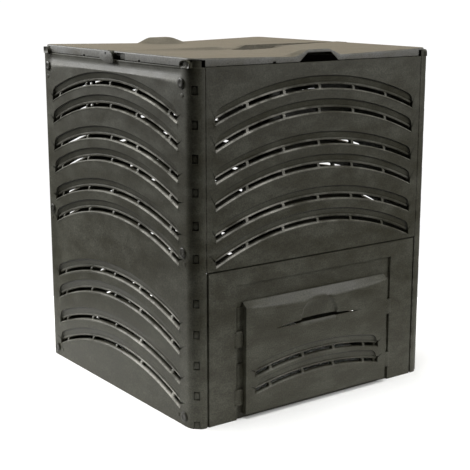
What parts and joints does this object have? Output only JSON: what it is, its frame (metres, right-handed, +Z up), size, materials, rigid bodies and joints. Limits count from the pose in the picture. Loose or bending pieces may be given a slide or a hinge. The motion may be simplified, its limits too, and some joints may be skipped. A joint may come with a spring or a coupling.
{
  "type": "compost bin with lid",
  "caption": "Square plastic compost bin with snap-together vented walls, a hinged lid in leaves and a hatch that lifts at the foot of the front wall.",
  "frame": {"origin": "on the ground under the middle of the bin, hatch proud of the front wall included", "axes": "+Z up, -Y out through the front wall with the hatch, +X to the right as seen from the front"},
  "size_m": [0.706, 0.7106, 0.833],
  "materials": {
    "bin_plastic": "moulded recycled polypropylene, fine grain, dark grey green",
    "hatch_plastic": "the same plastic as the walls",
    "lid_plastic": "moulded recycled polypropylene, satin, dark taupe grey",
    "peg_plastic": "the same plastic as the walls"
  },
  "bodies": {
    "bin": {"left_side_panel": "bin_plastic", "right_side_panel": "bin_plastic", "front_upper_panel": "bin_plastic", "rear_upper_panel": "bin_plastic", "front_lower_panel": "bin_plastic", "rear_lower_panel": "bin_plastic", "lock_peg_front_left_top": "peg_plastic", "lock_peg_front_left_middle": "peg_plastic", "lock_peg_front_left_bottom": "peg_plastic", "lock_peg_rear_left_top": "peg_plastic", "lock_peg_rear_left_middle": "peg_plastic", "lock_peg_rear_left_bottom": "peg_plastic", "lock_peg_front_right_top": "peg_plastic", "lock_peg_front_right_middle": "peg_plastic", "lock_peg_front_right_bottom": "peg_plastic", "lock_peg_rear_right_top": "peg_plastic", "lock_peg_rear_right_middle": "peg_plastic", "lock_peg_rear_right_bottom": "peg_plastic"},
    "hatch": {"hatch_door": "hatch_plastic"},
    "front_leaf": {"front_lid_leaf": "lid_plastic"},
    "rear_leaf": {"rear_lid_leaf": "lid_plastic"}
  },
  "joints": [
    {"name": "hatch_lift", "type": "slide", "parent": "bin", "child": "hatch", "axis": [0, 0, 1], "range_m": [0, 0.04]},
    {"name": "front_leaf_hinge", "type": "hinge", "parent": "bin", "child": "front_leaf", "pos_m": [0, -0.00275, 0.819], "axis": [-1, 0, 0], "range_deg": [0, 87]},
    {"name": "rear_leaf_hinge", "type": "hinge", "parent": "bin", "child": "rear_leaf", "pos_m": [0, 0.01325, 0.819], "axis": [1, 0, 0], "range_deg": [0, 87]}
  ]
}
